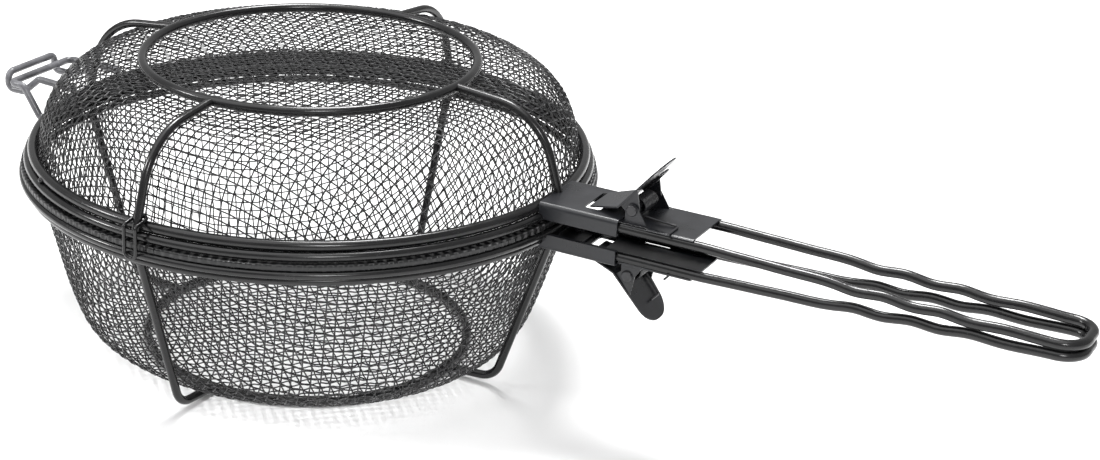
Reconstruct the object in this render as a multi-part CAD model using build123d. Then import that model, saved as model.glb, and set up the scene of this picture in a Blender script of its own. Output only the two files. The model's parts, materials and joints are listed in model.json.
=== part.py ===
from build123d import *
import math
import os

# Grill basket, two wire-mesh bowls closed on each other.
# Millimetres, +Z up. The bowls' axis is Z, the floor is z = 0, the handles point along +X.

# ---------------------------------------------------------------- driving dimensions

# Floor ring of the lower bowl, and the same ring on top of the upper bowl
stand_wire = 5.0
base_ring_radius = 87.2
top_ring_radius = 87.0
top_ring_height = 158.4

# Four heavy wire rings of the rim
inner_rim_radius = 144.7
inner_rim_height = 112.6
inner_rim_wire = 5.6
outer_rim_radius = 147.4
outer_rim_height = 108.15
outer_rim_wire = 4.75
wide_ring_radius = 150.4
wide_ring_height = 100.0
wide_ring_wire = 4.0
under_ring_radius = 148.0
under_ring_height = 96.2
under_ring_wire = 4.2

# Hem that binds the cut edge of the lower mesh
hem_inner_radius = 148.2
hem_outer_radius = 151.2
hem_bottom = 102.05
hem_top = 105.4
hem_corner = 0.8
hem_lip_radius = 143.8
hem_lip_thickness = 0.95

# Woven mesh, drawn as a closed sheet as thick as the weave
mesh_thickness = 1.5
lower_floor_height = 8.0
lower_corner_radius = 114.2
lower_corner_fillet = 24.0
lower_neck_radius = 142.0
lower_neck_height = 92.0
lower_neck_fillet = 14.0
lower_flange_radius = 142.6
lower_flange_height = 103.6
lower_flange_fillet = 3.0
upper_roof_height = 153.3
upper_corner_radius = 134.3
upper_corner_fillet = 34.0
upper_edge_radius = 142.0
upper_edge_height = 110.0

# Ribs, four per bowl
rib_wire = 4.4
rib_count = 4
lower_rib_top = (146.0, 94.6)
lower_rib_corner = (116.6, 5.2)
lower_rib_bend = 12.0
lower_rib_foot = (87.2, 3.2)
upper_rib_top = (87.0, 158.4)
upper_rib_shoulder = (135.0, 153.8)
upper_rib_bend = 35.0
upper_rib_end = (148.6, 111.0)

# Rear hinge: a staple on the lower bowl, a hook on the upper bowl
hinge_wire = 4.0
hinge_x = -183.9
hinge_height = 115.1
staple_half_width = 26.0
hook_half_width = 20.0

# Side clips that hang from a rib and swing over the rim
clip_wire = 1.8
clip_half_width = 3.4
clip_bar_radius = 143.4
clip_bar_height = 116.6
clip_outer_radius = 153.6
clip_shoulder_height = 115.1
clip_foot_height = 98.6
clip_bend = 2.0
clip_foot_bend = 3.3

# Handle hardware, mirrored about this height
handle_height = 104.0
sheet = 0.9
bracket_start = 146.0
bracket_end = 188.0
bracket_face = 12.1
bracket_half_width = 18.6
bracket_depth = 8.3
bracket_lip = 2.4
bracket_slot_start = 166.4
bracket_slot_end = 175.0
bracket_slot_half_width = 11.0

# Handle wire loop
handle_wire = 5.0
handle_half_width = 14.9
handle_start = 158.0
handle_level_end = 228.0
handle_root_height = 7.5
handle_tip_height = 2.65
handle_tip = 406.0
handle_tip_bend = 11.0
wave_start = 292.0
wave_pitch = 26.6
wave_count = 3
wave_height = 1.2

# Handle plate that carries the thumb lever
plate_sheet = 0.8
plate_end = 226.5
plate_wide_start = 189.0
plate_curl_angle = 50.0
tongue_half_width = 15.0
ear_y = 13.4
ear_foot_start = 189.6
ear_foot_end = 201.0
ear_radius = 3.2
pivot_x = 193.0
pivot_height = 17.0
pin_radius = 1.5
pin_head_radius = 2.8
pin_head_thickness = 1.2
pin_hole_clearance = 0.05
side_slot_length = 16.5
side_slot_width = 2.8
side_slot_x = 194.0
side_slot_y = 15.3
catch_slot_start = 163.5
catch_slot_end = 176.0

# Thumb lever
lever_sheet = 0.8
lever_front = (169.6, 12.75)
lever_bend = (185.5, 17.0)
lever_tip = (205.6, 41.2)
lever_front_half_width = 10.5
lever_bend_half_width = 14.0
lever_ear_y = 12.2
lever_ear_radius = 3.4
lever_tip_half_width = 11.2
lever_tip_round = 10.8

# Torsion spring round the pivot pin
spring_wire = 1.1
spring_coil_radius = 3.85
spring_half_length = 6.9
spring_pitch = 1.38
spring_arm_y = 8.6
spring_arm_length = 17.0
spring_arm_rise = 0.35
spring_arm_turn = 9.0
spring_leg_end = 214.5
spring_leg_turn = 12.0


# ---------------------------------------------------------------- shared shapes

def wire_ring(radius, height, wire):
    """A round wire bent into a level ring."""
    return Pos(0, 0, height) * Torus(radius, wire / 2)


def bent_wire(points, bend, wire, closed=False):
    """A round wire that follows straight runs with rounded bends."""
    path = FilletPolyline(*points, radius=bend, close=closed)
    start = Plane(origin=path @ 0, z_dir=path % 0)
    return sweep(start * Circle(wire / 2), path=path)


def turned_sheet(points, bends, thickness):
    """A sheet of even thickness turned round the Z axis from its middle line."""
    middle = FilletPolyline(*points, radius=bends)
    outline = offset(middle, amount=thickness / 2, side=Side.BOTH)
    profile = make_face(outline)
    right_half = Pos(500, 100) * Rectangle(1000, 1000)
    profile = profile & right_half
    return revolve(Plane.XZ * profile, axis=Axis.Z)


def below(shape):
    """The same piece mirrored to the lower bowl's handle."""
    return mirror(shape, about=Plane.XY.offset(handle_height))


def point_on(start, end, share):
    """A point part of the way from start to end."""
    x = start[0] + (end[0] - start[0]) * share
    z = start[1] + (end[1] - start[1]) * share
    return (x, z)


# ---------------------------------------------------------------- bowls

def make_lower_mesh():
    points = [
        (0, lower_floor_height),
        (lower_corner_radius, lower_floor_height),
        (lower_neck_radius, lower_neck_height),
        (lower_flange_radius, lower_flange_height),
        (hem_inner_radius, lower_flange_height),
    ]
    bends = [lower_corner_fillet, lower_neck_fillet, lower_flange_fillet]
    shell = turned_sheet(points, bends, mesh_thickness)
    hem = make_hem()
    return shell - hem


def make_upper_mesh():
    points = [
        (0, upper_roof_height),
        (upper_corner_radius, upper_roof_height),
        (upper_edge_radius, upper_edge_height),
    ]
    shell = turned_sheet(points, [upper_corner_fillet], mesh_thickness)
    return shell - make_inner_rim()


def make_hem():
    width = hem_outer_radius - hem_inner_radius
    height = hem_top - hem_bottom
    middle = (hem_outer_radius + hem_inner_radius) / 2
    section = Pos(middle, (hem_top + hem_bottom) / 2) * RectangleRounded(width, height, hem_corner)
    lip_width = middle - hem_lip_radius
    lip_middle = (middle + hem_lip_radius) / 2
    lip_height = hem_top - hem_lip_thickness / 2
    section += Pos(lip_middle, lip_height) * Rectangle(lip_width, hem_lip_thickness)
    return revolve(Plane.XZ * section, axis=Axis.Z)


def make_inner_rim():
    return wire_ring(inner_rim_radius, inner_rim_height, inner_rim_wire)


def make_outer_rim():
    return wire_ring(outer_rim_radius, outer_rim_height, outer_rim_wire)


def make_wide_ring():
    return wire_ring(wide_ring_radius, wide_ring_height, wide_ring_wire)


def make_under_ring():
    return wire_ring(under_ring_radius, under_ring_height, under_ring_wire)


def make_base_ring():
    return wire_ring(base_ring_radius, stand_wire / 2, stand_wire)


def make_top_ring():
    return wire_ring(top_ring_radius, top_ring_height, stand_wire)


def make_lower_rib():
    points = [
        (lower_rib_foot[0], 0, lower_rib_foot[1]),
        (lower_rib_corner[0], 0, lower_rib_corner[1]),
        (lower_rib_top[0], 0, lower_rib_top[1]),
    ]
    rib = bent_wire(points, lower_rib_bend, rib_wire)
    return rib - make_base_ring() - make_under_ring()


def make_upper_rib():
    points = [
        (upper_rib_top[0], 0, upper_rib_top[1]),
        (upper_rib_shoulder[0], 0, upper_rib_shoulder[1]),
        (upper_rib_end[0], 0, upper_rib_end[1]),
    ]
    rib = bent_wire(points, upper_rib_bend, rib_wire)
    return rib - make_top_ring() - make_inner_rim() - make_outer_rim()


# ---------------------------------------------------------------- hinge and clips

def make_hinge_staple():
    side = [
        (hinge_x, hinge_height),
        (-174.5, hinge_height),
        (-163.0, 98.6),
        (-149.0, 97.6),
    ]
    near = [(x, staple_half_width, z) for x, z in side]
    far = [(x, -staple_half_width, z) for x, z in side]
    points = list(reversed(near)) + far
    wire = bent_wire(points, 4.5, hinge_wire)
    return wire - make_wide_ring() - make_under_ring()


def make_hinge_hook():
    side = [
        (-190.6, 118.2),
        (-190.6, 109.0),
        (-179.4, 109.0),
        (-168.0, 118.4),
        (-143.2, 117.4),
    ]
    near = [(x, hook_half_width, z) for x, z in side]
    far = [(x, -hook_half_width, z) for x, z in side]
    points = list(reversed(near)) + far
    wire = bent_wire(points, 4.0, hinge_wire)
    return wire - make_inner_rim()


def make_side_clip():
    outline = [
        (clip_bar_radius, clip_bar_height),
        (clip_outer_radius, clip_shoulder_height),
        (clip_outer_radius, clip_foot_height),
    ]
    near = [(r, clip_half_width, z) for r, z in outline]
    far = [(r, -clip_half_width, z) for r, z in reversed(outline)]
    bends = [clip_bend, clip_bend, clip_foot_bend, clip_foot_bend, clip_bend, clip_bend]
    return bent_wire(near + far, bends, clip_wire, closed=True)


# ---------------------------------------------------------------- handle hardware

def make_bracket():
    """Sheet channel welded to the rim; the handle slides into it."""
    length = bracket_end - bracket_start
    middle_x = (bracket_start + bracket_end) / 2
    outer = Rectangle(2 * bracket_half_width, bracket_depth)
    corners = outer.vertices().group_by(Axis.Y)[-1]
    outer = fillet(corners, 2.4)
    inner_width = 2 * (bracket_half_width - sheet)
    inner = Pos(0, -sheet) * Rectangle(inner_width, bracket_depth)
    inner_corners = inner.vertices().group_by(Axis.Y)[-1]
    inner = fillet(inner_corners, 1.5)
    section = outer - inner
    lip_y = -bracket_depth / 2 + sheet / 2
    lip_x = bracket_half_width - bracket_lip / 2
    section += Pos(lip_x, lip_y) * Rectangle(bracket_lip, sheet)
    section += Pos(-lip_x, lip_y) * Rectangle(bracket_lip, sheet)
    centre_z = handle_height + bracket_face - bracket_depth / 2
    station = Plane(origin=(bracket_start, 0, centre_z), x_dir=(0, 1, 0), z_dir=(1, 0, 0))
    channel = extrude(station * section, amount=length)
    slot_length = bracket_slot_end - bracket_slot_start
    slot_x = (bracket_slot_end + bracket_slot_start) / 2
    slot = Pos(slot_x, 0, handle_height + bracket_face) * Box(
        slot_length, 2 * bracket_slot_half_width, 4 * sheet
    )
    slot = fillet(slot.edges().filter_by(Axis.Z), 1.5)
    return channel - slot


def make_upper_bracket():
    return make_bracket() - make_inner_rim() - make_outer_rim() - make_upper_rib()


def make_lower_bracket():
    return below(make_bracket()) - make_under_ring() - make_wide_ring() - make_lower_rib()


def handle_wire_height(x):
    """Height of the handle wire above the parting plane, with the finger waves."""
    if x <= handle_level_end:
        return handle_root_height
    share = (x - handle_level_end) / (handle_tip - handle_tip_bend - handle_level_end)
    height = handle_root_height + (handle_tip_height - handle_root_height) * share
    along = (x - wave_start) / wave_pitch
    if 0 < along < wave_count:
        height -= wave_height * (1 - math.cos(2 * math.pi * along)) / 2
    return max(height, handle_tip_height)


def make_handle_wire():
    level_z = handle_height + handle_root_height
    tip_z = handle_height + handle_tip_height
    arc_start = handle_tip - handle_tip_bend
    stations = [handle_level_end]
    step = wave_pitch / 4
    x = handle_level_end + 16
    while x < wave_start - step / 2:
        stations.append(x)
        x += 16
    for index in range(4 * wave_count + 1):
        stations.append(wave_start + index * step)
    stations.append(arc_start)
    path_edges = []
    for side in (1, -1):
        y = side * handle_half_width
        rows = [(x, y, handle_height + handle_wire_height(x)) for x in stations]
        level = Edge.make_line((handle_start, y, level_z), (handle_level_end, y, level_z))
        wave = Edge.make_spline(rows, tangents=[(1, 0, 0), (1, 0, 0)])
        corner_y = side * (handle_half_width - handle_tip_bend)
        middle = handle_tip_bend * math.cos(math.pi / 4)
        arc = Edge.make_three_point_arc(
            (arc_start, y, tip_z),
            (arc_start + middle, corner_y + side * middle, tip_z),
            (handle_tip, corner_y, tip_z),
        )
        path_edges += [level, wave, arc]
    inner_y = handle_half_width - handle_tip_bend
    path_edges.append(Edge.make_line((handle_tip, inner_y, tip_z), (handle_tip, -inner_y, tip_z)))
    path = Wire(path_edges)
    start = Plane(origin=path @ 0, z_dir=path % 0)
    return sweep(start * Circle(handle_wire / 2), path=path)


def make_edge_curl(length):
    """The plate's edge, rolled a little way round the handle wire."""
    inner = handle_wire / 2
    outer = inner + plate_sheet
    low = math.radians(plate_curl_angle)
    middle = math.radians((90 + plate_curl_angle) / 2)
    section = make_face(
        [
            Line((0, inner), (0, outer)),
            ThreePointArc(
                (0, outer),
                (outer * math.cos(middle), outer * math.sin(middle)),
                (outer * math.cos(low), outer * math.sin(low)),
            ),
            Line(
                (outer * math.cos(low), outer * math.sin(low)),
                (inner * math.cos(low), inner * math.sin(low)),
            ),
            ThreePointArc(
                (inner * math.cos(low), inner * math.sin(low)),
                (inner * math.cos(middle), inner * math.sin(middle)),
                (0, inner),
            ),
        ]
    )
    wire_z = handle_height + handle_root_height
    station = Plane(
        origin=(plate_wide_start, handle_half_width, wire_z), x_dir=(0, 1, 0), z_dir=(1, 0, 0)
    )
    return extrude(station * section, amount=length)


def make_handle_plate():
    """Pressed sheet on the handle wires, with two ears for the thumb lever's pin."""
    top = handle_root_height + handle_wire / 2 + plate_sheet
    z = handle_height + top - plate_sheet / 2
    tongue_length = plate_wide_start - handle_start
    tongue = Pos(handle_start + tongue_length / 2, 0, z) * Box(
        tongue_length, 2 * tongue_half_width, plate_sheet
    )
    wide_length = plate_end - plate_wide_start
    wide_x = plate_wide_start + wide_length / 2
    wide = Pos(wide_x, 0, z) * Box(wide_length, 2 * handle_half_width, plate_sheet)
    curl = make_edge_curl(wide_length)
    plate = tongue + wide + curl + mirror(curl, about=Plane.XZ)
    for side in (1, -1):
        slot = Pos(side_slot_x, side * side_slot_y, z) * Box(
            side_slot_length, side_slot_width, 4 * plate_sheet
        )
        plate -= slot
    catch_length = catch_slot_end - catch_slot_start
    catch_x = (catch_slot_start + catch_slot_end) / 2
    plate -= Pos(catch_x, 0, z) * Box(catch_length, 2 * bracket_slot_half_width, 4 * plate_sheet)
    pin_z = handle_height + pivot_height
    ear_outline = make_hull(
        [Pos(pivot_x, pin_z) * Circle(ear_radius).edge()]
        + Polyline((ear_foot_start, z), (ear_foot_end, z)).edges()
    )
    for side in (1, -1):
        ear_plane = Plane.XZ.offset(-side * ear_y)
        plate += extrude(ear_plane * ear_outline, amount=plate_sheet / 2, both=True)
    bore = Pos(pivot_x, 0, handle_height + pivot_height) * Rot(90, 0, 0) * Cylinder(
        pin_radius, 2 * bracket_half_width
    )
    return plate - bore


def make_pivot_pin():
    outside = ear_y + plate_sheet / 2
    place = Pos(pivot_x, 0, handle_height + pivot_height) * Rot(90, 0, 0)
    pin = place * Cylinder(pin_radius, 2 * outside)
    for side in (1, -1):
        head_y = side * (outside + pin_head_thickness / 2)
        head = Pos(pivot_x, head_y, handle_height + pivot_height) * Rot(90, 0, 0) * Cylinder(
            pin_head_radius, pin_head_thickness
        )
        outer_edge = head.edges().filter_by(GeomType.CIRCLE).sort_by(Axis.Y)
        outer_edge = outer_edge[-1] if side > 0 else outer_edge[0]
        pin += fillet(outer_edge, 0.7)
    return pin


def strip_between(start, end, thickness, half_widths):
    """A flat sheet strip from start to end, with its own half-width at each end."""
    run_x = end[0] - start[0]
    run_z = end[1] - start[1]
    length = math.hypot(run_x, run_z)
    outline = Polyline(
        (0, half_widths[0]),
        (length, half_widths[1]),
        (length, -half_widths[1]),
        (0, -half_widths[0]),
        close=True,
    )
    along = (run_x / length, 0, run_z / length)
    normal = (-run_z / length, 0, run_x / length)
    place = Plane(origin=(start[0], 0, handle_height + start[1]), x_dir=along, z_dir=normal)
    return extrude(place * make_face(outline), amount=thickness / 2, both=True)


def make_thumb_lever():
    front_widths = (lever_front_half_width, lever_bend_half_width)
    flap = strip_between(lever_front, lever_bend, lever_sheet, front_widths)
    tab_widths = (lever_bend_half_width, lever_tip_half_width)
    tab = strip_between(lever_bend, lever_tip, lever_sheet, tab_widths)
    tab_corners = tab.edges().filter_by(lambda e: abs(e.length - lever_sheet) < 0.01)
    tab_corners = tab_corners.sort_by(Axis.Z)[-2:]
    tab = fillet(tab_corners, lever_tip_round)
    bend_bar = Pos(lever_bend[0], 0, handle_height + lever_bend[1]) * Rot(90, 0, 0) * Cylinder(
        lever_sheet / 2, 2 * lever_bend_half_width
    )
    lever = flap + bend_bar + tab
    pin_z = handle_height + pivot_height
    for side in (1, -1):
        high = point_on(lever_bend, lever_tip, 0.45)
        low = point_on(lever_bend, lever_tip, 0.04)
        web = make_hull(
            [Pos(pivot_x, pin_z) * Circle(lever_ear_radius).edge()]
            + Polyline(
                (low[0], handle_height + low[1]),
                (high[0], handle_height + high[1]),
            ).edges()
        )
        web_plane = Plane.XZ.offset(-side * lever_ear_y)
        lever += extrude(web_plane * web, amount=lever_sheet / 2, both=True)
    hole = Pos(pivot_x, 0, pin_z) * Rot(90, 0, 0) * Cylinder(
        pin_radius + pin_hole_clearance, 4 * lever_ear_y
    )
    return lever - hole


def make_spring_coil():
    """Coil round the pin with the long leg that lies on the handle plate."""
    pin_z = handle_height + pivot_height
    helix = Helix(
        pitch=spring_pitch,
        height=2 * spring_half_length,
        radius=spring_coil_radius,
        center=(0, 0, 0),
        direction=(0, 0, 1),
    )
    coil_start = Plane(origin=helix @ 0, z_dir=helix % 0)
    coil = sweep(coil_start * Circle(spring_wire / 2), path=helix, is_frenet=True)
    coil = Pos(pivot_x, spring_half_length, pin_z) * Rot(90, 0, 0) * Rot(0, 0, 180) * coil
    leg_y = -spring_half_length
    low_z = pin_z - spring_coil_radius
    plate_top = handle_root_height + handle_wire / 2 + plate_sheet
    leg_z = handle_height + plate_top + spring_wire / 2 + 0.05
    leg_points = [
        (pivot_x, leg_y, low_z),
        (spring_leg_end, leg_y, leg_z),
        (spring_leg_end, leg_y - spring_leg_turn, leg_z),
    ]
    leg = bent_wire(leg_points, 1.5, spring_wire)
    return coil, leg


def make_spring_arm():
    """Short arm of the same spring that presses the lever from below."""
    pin_z = handle_height + pivot_height
    run_x = lever_tip[0] - lever_bend[0]
    run_z = lever_tip[1] - lever_bend[1]
    length = math.hypot(run_x, run_z)
    along = (run_x / length, run_z / length)
    normal = (-along[1], along[0])
    start_x = pivot_x + normal[0] * spring_coil_radius
    start_z = pin_z + normal[1] * spring_coil_radius
    end_x = start_x + along[0] * spring_arm_length + normal[0] * spring_arm_rise
    end_z = start_z + along[1] * spring_arm_length + normal[1] * spring_arm_rise
    back_x = pivot_x - along[0] * spring_coil_radius
    back_z = pin_z - along[1] * spring_coil_radius
    corner_x = start_x - along[0] * spring_coil_radius
    corner_z = start_z - along[1] * spring_coil_radius
    points = [
        (back_x, spring_arm_y, back_z),
        (corner_x, spring_arm_y, corner_z),
        (end_x, spring_arm_y, end_z),
        (end_x, spring_arm_y - spring_arm_turn, end_z),
    ]
    return bent_wire(points, [spring_coil_radius * 0.9, 1.2], spring_wire)


# ---------------------------------------------------------------- every piece, one file each

pieces = {}
pieces["lower_mesh"] = make_lower_mesh()
pieces["lower_hem"] = make_hem()
pieces["lower_wide_ring"] = make_wide_ring()
pieces["lower_under_ring"] = make_under_ring()
pieces["base_ring"] = make_base_ring()
pieces["upper_mesh"] = make_upper_mesh()
pieces["upper_inner_rim"] = make_inner_rim()
pieces["upper_outer_rim"] = make_outer_rim()
pieces["top_ring"] = make_top_ring()

lower_rib = make_lower_rib()
upper_rib = make_upper_rib()
rib_names = ["front", "left", "rear", "right"]
for index in range(rib_count):
    turn = Rot(0, 0, index * 360 / rib_count)
    pieces["lower_rib_" + rib_names[index]] = turn * lower_rib
    pieces["upper_rib_" + rib_names[index]] = turn * upper_rib

pieces["hinge_staple"] = make_hinge_staple()
pieces["hinge_hook"] = make_hinge_hook()

side_clip = make_side_clip()
pieces["clip_right"] = Rot(0, 0, -90) * side_clip
pieces["clip_left"] = Rot(0, 0, 90) * side_clip

pieces["upper_bracket"] = make_upper_bracket()
pieces["lower_bracket"] = make_lower_bracket()

coil, long_leg = make_spring_coil()
upper_set = {
    "handle_wire": make_handle_wire(),
    "handle_plate": make_handle_plate(),
    "pivot_pin": make_pivot_pin(),
    "thumb_lever": make_thumb_lever(),
    "spring_coil": coil + long_leg,
    "spring_arm": make_spring_arm(),
}
for name, shape in upper_set.items():
    pieces["upper_" + name] = shape
    pieces["lower_" + name] = below(shape)

os.makedirs("parts", exist_ok=True)
for name, shape in pieces.items():
    export_step(shape, "parts/" + name + ".step")
    size = shape.bounding_box().size
    solids = len(shape.solids())
    print(name, solids, "solid", round(shape.volume), "mm3", [round(v, 1) for v in size])
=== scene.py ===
# %% [markdown]
# # Wire-mesh grill basket
# A round basket for the grill: two bowls of woven wire mesh hinged at the back, each held by heavy
# wire rings and four ribs, with two long wire handles at the front. Each handle has a sprung thumb
# lever. All lengths are in metres. The bowls' axis is the Z axis and the handles point along +X.

# %% Load the solid model
import math
import bpy
import bmesh
import numpy as np
from mathutils import Matrix, Vector
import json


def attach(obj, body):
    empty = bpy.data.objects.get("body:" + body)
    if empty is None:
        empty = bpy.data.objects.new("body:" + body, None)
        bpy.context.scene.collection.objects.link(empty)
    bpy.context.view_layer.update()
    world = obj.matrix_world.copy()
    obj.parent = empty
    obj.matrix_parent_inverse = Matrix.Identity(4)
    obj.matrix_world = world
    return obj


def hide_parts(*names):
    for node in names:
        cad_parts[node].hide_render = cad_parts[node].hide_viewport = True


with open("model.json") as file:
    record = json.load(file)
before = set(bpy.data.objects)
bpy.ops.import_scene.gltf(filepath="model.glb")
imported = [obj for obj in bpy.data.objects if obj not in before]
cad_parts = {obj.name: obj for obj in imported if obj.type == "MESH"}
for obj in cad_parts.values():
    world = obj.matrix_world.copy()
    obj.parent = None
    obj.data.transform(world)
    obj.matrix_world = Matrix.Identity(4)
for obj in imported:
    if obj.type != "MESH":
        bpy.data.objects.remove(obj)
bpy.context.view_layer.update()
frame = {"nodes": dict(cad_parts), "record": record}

# %% [markdown]
# ## Small helpers
# A shader is a chain of nodes, so one function adds a node, sets its values and joins its sockets.
# Colours are written as the hex codes a painter would pick and turned into linear light once.

# %% Helpers for nodes and colours
MM = 0.001


def srgb(code):
    """A hex colour as linear red, green, blue and alpha."""
    channels = [int(code[i:i + 2], 16) / 255 for i in (0, 2, 4)]
    linear = [c / 12.92 if c <= 0.04045 else ((c + 0.055) / 1.055) ** 2.4 for c in channels]
    return linear + [1.0]


def add_node(material, kind, links=None, settings=None, **values):
    """Adds one shader node. links feed its sockets, settings are its own properties."""
    node = material.node_tree.nodes.new(kind)
    for name, value in (settings or {}).items():
        setattr(node, name, value)
    for name, value in values.items():
        node.inputs[name.replace("_", " ")].default_value = value
    for name, source in (links or {}).items():
        material.node_tree.links.new(source, node.inputs[name])
    return node


def new_material(name):
    material = bpy.data.materials.new(name)
    material.use_nodes = True
    shader = material.node_tree.nodes["Principled BSDF"]
    return material, shader


def link(material, source, target):
    material.node_tree.links.new(source, target)


def set_ramp(ramp, stops):
    """Colour stops of a ramp as (place, colour) pairs."""
    elements = ramp.color_ramp.elements
    while len(elements) < len(stops):
        elements.new(0.5)
    for element, (place, colour) in zip(elements, stops):
        element.position = place
        element.color = colour

# %% [markdown]
# ## Materials
# Everything is steel under a thin black non-stick coat. The coat is sprayed and baked, so its gloss
# wanders a little and it has a fine orange-peel skin.

# %% Coated steel
def coated_steel(name, dark, light, gloss, skin, speckle_size=0.0006):
    """Black baked coat: cloudy gloss, fine orange-peel bump and faint pale speckles."""
    material, shader = new_material(name)
    place = add_node(material, "ShaderNodeTexCoord")
    cloud = add_node(material, "ShaderNodeTexNoise", {"Vector": place.outputs["Object"]},
                     Scale=55.0, Detail=4.0, Roughness=0.6)
    tint = add_node(material, "ShaderNodeValToRGB", {"Fac": cloud.outputs["Fac"]})
    set_ramp(tint, [(0.35, srgb(dark)), (0.75, srgb(light))])
    speck = add_node(material, "ShaderNodeTexNoise", {"Vector": place.outputs["Object"]},
                     Scale=0.45 / speckle_size, Detail=2.0)
    speck_mask = add_node(material, "ShaderNodeValToRGB", {"Fac": speck.outputs["Fac"]})
    set_ramp(speck_mask, [(0.68, (0, 0, 0, 1)), (0.76, (0.22, 0.22, 0.22, 1))])
    mix = add_node(material, "ShaderNodeMix", {"Factor": speck_mask.outputs["Color"], "A": tint.outputs["Color"]},
                   {"data_type": "RGBA"})
    mix.inputs["B"].default_value = srgb("5a5a5c")
    link(material, mix.outputs["Result"], shader.inputs["Base Color"])
    sheen = add_node(material, "ShaderNodeMapRange", {"Value": cloud.outputs["Fac"]},
                     From_Min=0.3, From_Max=0.7, To_Min=gloss - 0.05, To_Max=gloss + 0.09)
    link(material, sheen.outputs["Result"], shader.inputs["Roughness"])
    peel = add_node(material, "ShaderNodeTexNoise", {"Vector": place.outputs["Object"]},
                    Scale=900.0, Detail=2.0)
    bump = add_node(material, "ShaderNodeBump", {"Height": peel.outputs["Fac"]},
                    Strength=skin, Distance=0.00012)
    link(material, bump.outputs["Normal"], shader.inputs["Normal"])
    shader.inputs["Specular IOR Level"].default_value = 0.5
    return material


wire_coat = coated_steel("non_stick_coat_on_round_wire", "0a0a0b", "131314", 0.19, 0.25)
sheet_coat = coated_steel("non_stick_coat_on_pressed_sheet", "17181b", "25262a", 0.3, 0.2)
mesh_coat = coated_steel("non_stick_coat_on_woven_wire", "151516", "232325", 0.22, 0.12)
hinge_coat = coated_steel("thin_coat_on_hinge_wire", "48484b", "77777b", 0.22, 0.25)
spring_coat = coated_steel("oiled_spring_steel", "1d1d1f", "39393c", 0.28, 0.15)

# The mesh's cut wires press through the hem from below, one small bump for each wire.
hem_coat = coated_steel("non_stick_coat_on_crimped_hem", "0c0c0d", "1a1a1c", 0.28, 0.3)
hem_shader = hem_coat.node_tree.nodes["Principled BSDF"]
hem_place = add_node(hem_coat, "ShaderNodeTexCoord")
hem_axes = add_node(hem_coat, "ShaderNodeSeparateXYZ", {"Vector": hem_place.outputs["Object"]})
hem_turn = add_node(hem_coat, "ShaderNodeMath", settings={"operation": "ARCTAN2"})
link(hem_coat, hem_axes.outputs["Y"], hem_turn.inputs[0])
link(hem_coat, hem_axes.outputs["X"], hem_turn.inputs[1])
hem_count = add_node(hem_coat, "ShaderNodeMath", settings={"operation": "MULTIPLY"})
link(hem_coat, hem_turn.outputs["Value"], hem_count.inputs[0])
hem_count.inputs[1].default_value = 198.0
hem_wave = add_node(hem_coat, "ShaderNodeMath", settings={"operation": "SINE"})
link(hem_coat, hem_count.outputs["Value"], hem_wave.inputs[0])
hem_bump = add_node(hem_coat, "ShaderNodeBump", {"Height": hem_wave.outputs["Value"]}, Strength=0.8, Distance=0.0004)
link(hem_coat, hem_bump.outputs["Normal"], hem_shader.inputs["Normal"])
print("made", len([m for m in bpy.data.materials if m.use_nodes]), "materials")

# %% [markdown]
# ## Dress the solid pieces
# The rings, ribs, handles and sheet pieces already have their true shape, so they only take a
# material. A narrow bevel on the sheet pieces rounds their cut edges so that they catch the light.

# %% Give each solid piece its coat
coat_of_slot = {
    "black_mesh": mesh_coat,
    "coated_wire": wire_coat,
    "coated_sheet": sheet_coat,
    "hinge_wire": hinge_coat,
    "spring_steel": spring_coat,
}
slot_of_node = {row["node"]: row["material_slot"] for row in frame["record"]["subparts"]}
for node, piece in frame["nodes"].items():
    coat = hem_coat if node == "lower_hem" else coat_of_slot[slot_of_node[node]]
    if not piece.material_slots:
        piece.data.materials.append(coat)
    for slot in piece.material_slots:
        slot.material = coat
    if slot_of_node[node] == "coated_sheet":
        soften = piece.modifiers.new("rounded cut edges", "BEVEL")
        soften.width = 0.25 * MM
        soften.segments = 2
        soften.limit_method = "ANGLE"
        soften.harden_normals = False
print("dressed", len(frame["nodes"]), "solid pieces")

# %% [markdown]
# ## Woven mesh
# Each bowl starts as a flat disc of plain-weave wire and is pressed to shape. Wires can't stretch,
# so the squares stay the same length on each side and lean into diamonds where the bowl turns down.
# Laying it out node by node gives that same lean: each crossing is one pitch away from its two
# neighbours, measured on the bowl's surface. Two steps along the bowl fix it, so we solve for it.

# %% The bowls' surfaces
pitch = 4.9 * MM
strand = 0.8 * MM

lower_profile = [(0, 8.0), (97.0, 8.0), (102.7, 8.7), (107.9, 10.6), (112.6, 13.9), (116.6, 18.3),
                 (119.4, 24.0), (129.4, 54.0), (138.7, 82.0), (141.6, 92.0), (142.2, 100.5)]
upper_profile = [(0, 153.3), (105.8, 153.3), (112.5, 152.6), (119.0, 150.6), (125.0, 147.3),
                 (130.0, 143.0), (134.2, 137.8), (137.2, 131.8), (139.2, 125.4), (141.4, 113.4)]
upper_profile[-1] = (141.8, 111.6)


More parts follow.
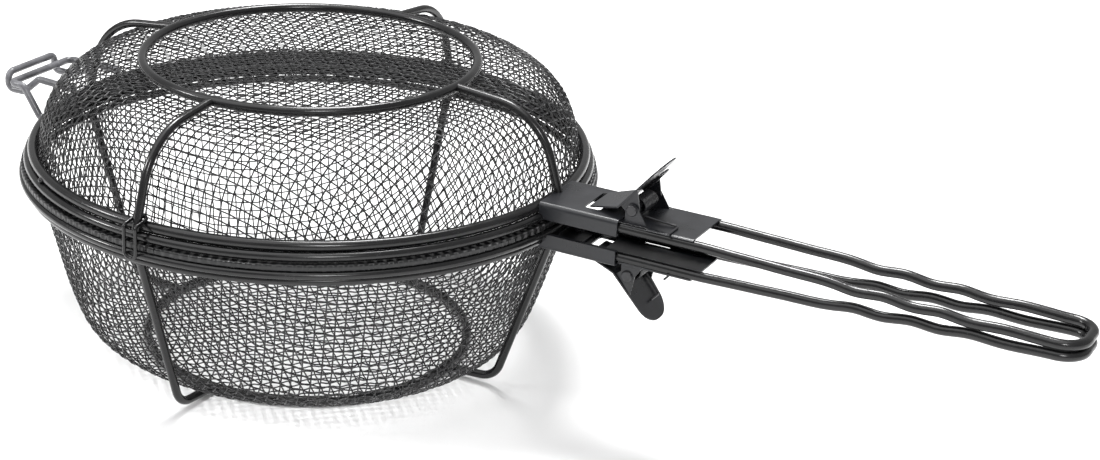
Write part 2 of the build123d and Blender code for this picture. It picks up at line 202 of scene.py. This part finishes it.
class Bowl:
    """A turned surface, with the mesh swelling outward a little between the ribs."""

    def __init__(self, profile, swell, swell_height, swell_reach, rib_turn):
        line = np.array(profile) * MM
        steps = np.hypot(*np.diff(line, axis=0).T)
        along = np.concatenate([[0], np.cumsum(steps)])
        fine = np.linspace(0, along[-1], 600)
        r = np.interp(fine, along, line[:, 0])
        z = np.interp(fine, along, line[:, 1])
        kernel = np.hanning(21)
        kernel /= kernel.sum()
        pad_r = np.pad(r, 10, mode="reflect", reflect_type="odd")
        pad_z = np.pad(z, 10, mode="reflect", reflect_type="odd")
        self.r = np.convolve(pad_r, kernel, "valid")
        self.z = np.convolve(pad_z, kernel, "valid")
        self.s = fine
        self.end = fine[-1]
        self.swell = swell * MM
        self.swell_height = swell_height * MM
        self.swell_reach = swell_reach * MM
        self.rib_turn = rib_turn

    def at(self, s, turn):
        over = s - self.end
        r = np.interp(s, self.s, self.r)
        z = np.interp(s, self.s, self.z)
        last = self.s[-1] - self.s[-20]
        r = r + np.where(over > 0, over * (self.r[-1] - self.r[-20]) / last, 0)
        z = z + np.where(over > 0, over * (self.z[-1] - self.z[-20]) / last, 0)
        off_rib = (1 - np.cos(4 * (turn - self.rib_turn))) / 2
        height = np.exp(-((z - self.swell_height) / self.swell_reach) ** 2)
        edge = np.clip((r - 0.095) / 0.02, 0, 1)
        r = r + self.swell * off_rib * height * edge
        return np.stack([r * np.cos(turn), r * np.sin(turn), z], -1)


lower_bowl = Bowl(lower_profile, 3.4, 36.0, 34.0, math.radians(45))
upper_bowl = Bowl(upper_profile, 0.0, 130.0, 20.0, 0.0)
print("profile lengths", round(lower_bowl.end, 4), round(upper_bowl.end, 4))

# %% Lay the net, one diagonal row of crossings at a time
def lay_net(bowl):
    """Crossings of one quarter of the mesh as (along bowl, turn), from the middle outward."""
    count = int(bowl.end / pitch) + 3
    place = np.full((count, count, 2), np.nan)
    for i in range(count):
        place[i, 0] = (i * pitch, 0.0)
        place[0, i] = (i * pitch, math.pi / 2)
    for diagonal in range(2, 2 * count - 1):
        i = np.arange(max(1, diagonal - count + 1), min(diagonal, count))
        j = diagonal - i
        keep = ~np.isnan(place[i - 1, j, 0]) & ~np.isnan(place[i, j - 1, 0])
        i, j = i[keep], j[keep]
        if len(i) == 0:
            continue
        a = bowl.at(place[i - 1, j, 0], place[i - 1, j, 1])
        b = bowl.at(place[i, j - 1, 0], place[i, j - 1, 1])
        c = bowl.at(place[i - 1, j - 1, 0], place[i - 1, j - 1, 1])
        guess = a + b - c
        turn = np.arctan2(guess[:, 1], guess[:, 0])
        s = (place[i - 1, j, 0] + place[i, j - 1, 0]) - place[i - 1, j - 1, 0]
        flat = np.hypot(i, j) * pitch
        s = np.where(flat < 0.09, flat, s)
        for _ in range(25):
            p = bowl.at(s, turn)
            step = 1e-6
            ds = (bowl.at(s + step, turn) - p) / step
            dt = (bowl.at(s, turn + 1e-5) - p) / 1e-5
            f1 = ((p - a) ** 2).sum(1) - pitch ** 2
            f2 = ((p - b) ** 2).sum(1) - pitch ** 2
            j11 = 2 * ((p - a) * ds).sum(1)
            j12 = 2 * ((p - a) * dt).sum(1)
            j21 = 2 * ((p - b) * ds).sum(1)
            j22 = 2 * ((p - b) * dt).sum(1)
            det = j11 * j22 - j12 * j21
            det = np.where(np.abs(det) < 1e-14, 1e-14, det)
            move_s = np.clip((f1 * j22 - f2 * j12) / det, -pitch / 2, pitch / 2)
            move_t = np.clip((f2 * j11 - f1 * j21) / det, -0.03, 0.03)
            s = s - move_s
            turn = turn - move_t
        good = (s < bowl.end + 2.5 * pitch) & (np.abs(f1) < 1e-8) & (s > 0)
        place[i[good], j[good], 0] = s[good]
        place[i[good], j[good], 1] = turn[good]
    return place


lower_net = lay_net(lower_bowl)
upper_net = lay_net(upper_bowl)
print("crossings in a quarter:", int((~np.isnan(lower_net[..., 0])).sum()), int((~np.isnan(upper_net[..., 0])).sum()))

# %% [markdown]
# ## Thread the wires
# A wire of the weave follows one row of crossings, over one and under the next. Each becomes a
# smooth curve with a round section. Wires one way make one piece and wires the other way another,
# as on a loom.

# %% Threads of a bowl
def crossing(net, i, j):
    """Crossing (i, j) anywhere in the mesh, from the quarter that was laid."""
    s, turn = net[abs(i), abs(j)]
    if i < 0:
        turn = math.pi - turn
    if j < 0:
        turn = -turn
    return s, turn


def thread_wires(name, bowl, net, along_first, grid_turn, end_line, body, replaced=None):
    """One curve object with every wire that runs one way."""
    count = net.shape[0] - 1
    data = bpy.data.curves.new(name, "CURVE")
    data.dimensions = "3D"
    data.bevel_depth = strand / 2
    data.bevel_resolution = 1
    data.resolution_u = 2
    data.use_fill_caps = True
    lift = strand * 0.92
    spin = Matrix.Rotation(grid_turn, 3, "Z")
    total = 0
    for fixed in range(-count, count + 1):
        rows = []
        for run in range(-count, count + 1):
            i, j = (run, fixed) if along_first else (fixed, run)
            s, turn = crossing(net, i, j)
            rows.append((s, turn, i + j))
        inside = [k for k, row in enumerate(rows) if row[0] <= bowl.end]
        if len(inside) < 2:
            continue
        first, last = inside[0], inside[-1]
        points = []
        for k in range(first, last + 1):
            s, turn, parity = rows[k]
            if np.isnan(s):
                continue
            here = bowl.at(np.array([s]), np.array([turn]))[0]
            ahead = bowl.at(np.array([s + 1e-5]), np.array([turn]))[0] - here
            aside = bowl.at(np.array([s]), np.array([turn + 1e-4]))[0] - here
            normal = Vector(ahead).cross(Vector(aside)).normalized() if s > 1e-6 else Vector((0, 0, 1))
            sign = 1 if (parity % 2 == 0) == along_first else -1
            points.append(spin @ (Vector(here) + normal * lift * sign))
        ends = []
        for edge, outer in ((first, first - 1), (last, last + 1)):
            s_in, turn_in, _ = rows[edge]
            if 0 <= outer < len(rows) and not np.isnan(rows[outer][0]):
                s_out, turn_out, _ = rows[outer]
                share = (bowl.end - s_in) / max(s_out - s_in, 1e-9)
                gap = (turn_out - turn_in + math.pi) % (2 * math.pi) - math.pi
                turn_end = turn_in + gap * min(max(share, 0), 1)
            else:
                turn_end = turn_in
            tail = []
            rim = bowl.at(np.array([bowl.end]), np.array([turn_end]))[0]
            tail.append(spin @ Vector(rim))
            for radius, height in end_line:
                tail.append(spin @ Vector((radius * MM * math.cos(turn_end), radius * MM * math.sin(turn_end), height * MM)))
            ends.append(tail)
        chain = list(reversed(ends[0])) + points + ends[1]
        spline = data.splines.new("NURBS")
        spline.points.add(len(chain) - 1)
        for point, co in zip(spline.points, chain):
            point.co = (*co, 1.0)
        spline.order_u = 3
        spline.use_endpoint_u = True
        total += 1
    piece = bpy.data.objects.new(name, data)
    bpy.context.scene.collection.objects.link(piece)
    data.materials.append(mesh_coat)
    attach(piece, body)
    if replaced:
        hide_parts(replaced)
    print(name, total, "wires")
    return piece


lower_end = [(143.2, 102.6), (145.4, 103.6), (148.6, 103.6)]
upper_end = [(142.1, 110.2)]
thread_wires("lower_mesh_warp", lower_bowl, lower_net, True, math.radians(45), lower_end, "lower_bowl", "lower_mesh")
thread_wires("lower_mesh_weft", lower_bowl, lower_net, False, math.radians(45), lower_end, "lower_bowl", "lower_mesh")
thread_wires("upper_mesh_warp", upper_bowl, upper_net, True, 0.0, upper_end, "upper_bowl", "upper_mesh")
thread_wires("upper_mesh_weft", upper_bowl, upper_net, False, 0.0, upper_end, "upper_bowl", "upper_mesh")

# %% [markdown]
# ## Weld beads
# The ribs are spot welded to the rings. Each weld leaves a small flattened bead under the coat, a
# little wider than the wire. A bead is a ball pressed flat, with its skin made slightly uneven.

# %% Beads where the ribs meet the rings
def weld_beads(name, spots, body):
    """One piece with a flattened, slightly uneven bead at each spot (radius, height, turn, size)."""
    rng = np.random.default_rng(7)
    shape = bmesh.new()
    for radius, height, turn_degrees, size in spots:
        turn = math.radians(turn_degrees)
        place = Matrix.Translation((radius * math.cos(turn) * MM, radius * math.sin(turn) * MM, height * MM))
        made = bmesh.ops.create_icosphere(shape, subdivisions=3, radius=size * MM, matrix=place)
        centre = place.translation
        for vert in made["verts"]:
            away = vert.co - centre
            away.z *= 0.72
            wobble = 1 + 0.05 * math.sin(away.x * 2100 + turn * 5) + 0.04 * math.sin(away.y * 1700 + size)
            vert.co = centre + away * wobble * float(rng.uniform(0.99, 1.01))
    mesh = bpy.data.meshes.new(name)
    shape.to_mesh(mesh)
    shape.free()
    mesh.polygons.foreach_set("use_smooth", [True] * len(mesh.polygons))
    mesh.materials.append(wire_coat)
    piece = bpy.data.objects.new(name, mesh)
    bpy.context.scene.collection.objects.link(piece)
    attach(piece, body)
    print(name, len(spots), "beads")
    return piece


quarter_turns = (0, 90, 180, 270)
weld_beads("upper_weld_beads", [(147.4, 113.6, a, 2.3) for a in quarter_turns]
           + [(89.4, 158.2, a, 2.3) for a in quarter_turns] + [(147.2, 111.6, 238, 1.9)],
           "upper_bowl")
weld_beads("lower_weld_beads", [(146.6, 94.3, a, 2.4) for a in quarter_turns]
           + [(89.6, 3.4, a, 2.3) for a in quarter_turns], "lower_bowl")

# %% [markdown]
# ## Studio
# A pale floor, a bright even surround and two large soft lamps, as a product is usually lit. The
# camera stands in front of the right side and looks slightly down along the handles.

# %% Floor, light and camera
floor_mesh = bpy.data.meshes.new("floor")
grid = bmesh.new()
bmesh.ops.create_grid(grid, x_segments=1, y_segments=1, size=6.0)
grid.to_mesh(floor_mesh)
grid.free()
floor = bpy.data.objects.new("floor", floor_mesh)
bpy.context.scene.collection.objects.link(floor)
floor_paint, floor_shader = new_material("pale_studio_floor")
floor_place = add_node(floor_paint, "ShaderNodeTexCoord")
floor_cloud = add_node(floor_paint, "ShaderNodeTexNoise", {"Vector": floor_place.outputs["Object"]}, Scale=3.0)
floor_tint = add_node(floor_paint, "ShaderNodeValToRGB", {"Fac": floor_cloud.outputs["Fac"]})
set_ramp(floor_tint, [(0.3, srgb("f4f4f4")), (0.7, srgb("f8f8f8"))])
link(floor_paint, floor_tint.outputs["Color"], floor_shader.inputs["Base Color"])
floor_shader.inputs["Roughness"].default_value = 0.6
floor_mesh.materials.append(floor_paint)

world = bpy.data.worlds.new("soft surround")
bpy.context.scene.world = world
world.use_nodes = True
world.node_tree.nodes["Background"].inputs["Color"].default_value = (1.0, 1.0, 1.0, 1.0)
world.node_tree.nodes["Background"].inputs["Strength"].default_value = 0.5
bpy.context.scene.view_settings.view_transform = "Standard"


def soft_lamp(name, place, target, size, power):
    """A large square lamp that faces the target."""
    lamp = bpy.data.lights.new(name, "AREA")
    lamp.shape = "SQUARE"
    lamp.size = size
    lamp.energy = power
    stand = bpy.data.objects.new(name, lamp)
    stand.location = place
    stand.rotation_euler = (Vector(target) - Vector(place)).to_track_quat("-Z", "Y").to_euler()
    bpy.context.scene.collection.objects.link(stand)
    return stand


ceiling = bpy.data.lights.new("diffused ceiling light", "SUN")
ceiling.energy = 1.6
ceiling.angle = math.radians(70)
ceiling_stand = bpy.data.objects.new("diffused ceiling light", ceiling)
ceiling_stand.rotation_euler = (math.radians(12), math.radians(-14), 0)
bpy.context.scene.collection.objects.link(ceiling_stand)
soft_lamp("overhead softbox", (-0.1, 0.45, 1.3), (0.05, 0, 0.05), 0.45, 20)
soft_lamp("front strip softbox", (1.1, -1.3, 1.1), (0.1, 0, 0.08), 0.3, 9)
soft_lamp("side strip softbox", (-1.3, -0.9, 0.9), (0.0, 0, 0.08), 0.3, 9)

camera_turn = math.radians(33.32)
camera_far = 1.0443
camera_height = 0.4971
camera_data = bpy.data.cameras.new("camera")
camera = bpy.data.objects.new("camera", camera_data)
camera_data.sensor_width = 36.0
camera_data.lens = 68.92
camera_data.shift_x = 0.1948
heading = camera_turn - 0.014
down = 0.396
roll = 0.015
level_right = Vector((math.cos(camera_turn - 0.014), math.sin(camera_turn - 0.014), 0))
ahead = Vector((-math.sin(heading), math.cos(heading), 0))
look = (ahead * math.cos(down) - Vector((0, 0, 1)) * math.sin(down)).normalized()
level_up = level_right.cross(look).normalized()
right = level_right * math.cos(roll) + level_up * math.sin(roll)
up = right.cross(look)
turn = Matrix((right, up, -look)).transposed()
camera.matrix_world = Matrix.Translation(
    (camera_far * math.sin(camera_turn), -camera_far * math.cos(camera_turn), camera_height)
) @ turn.to_4x4()
bpy.context.scene.collection.objects.link(camera)
bpy.context.scene.camera = camera
print("camera stands at", [round(v, 3) for v in camera.location])

# %% Finish
import json
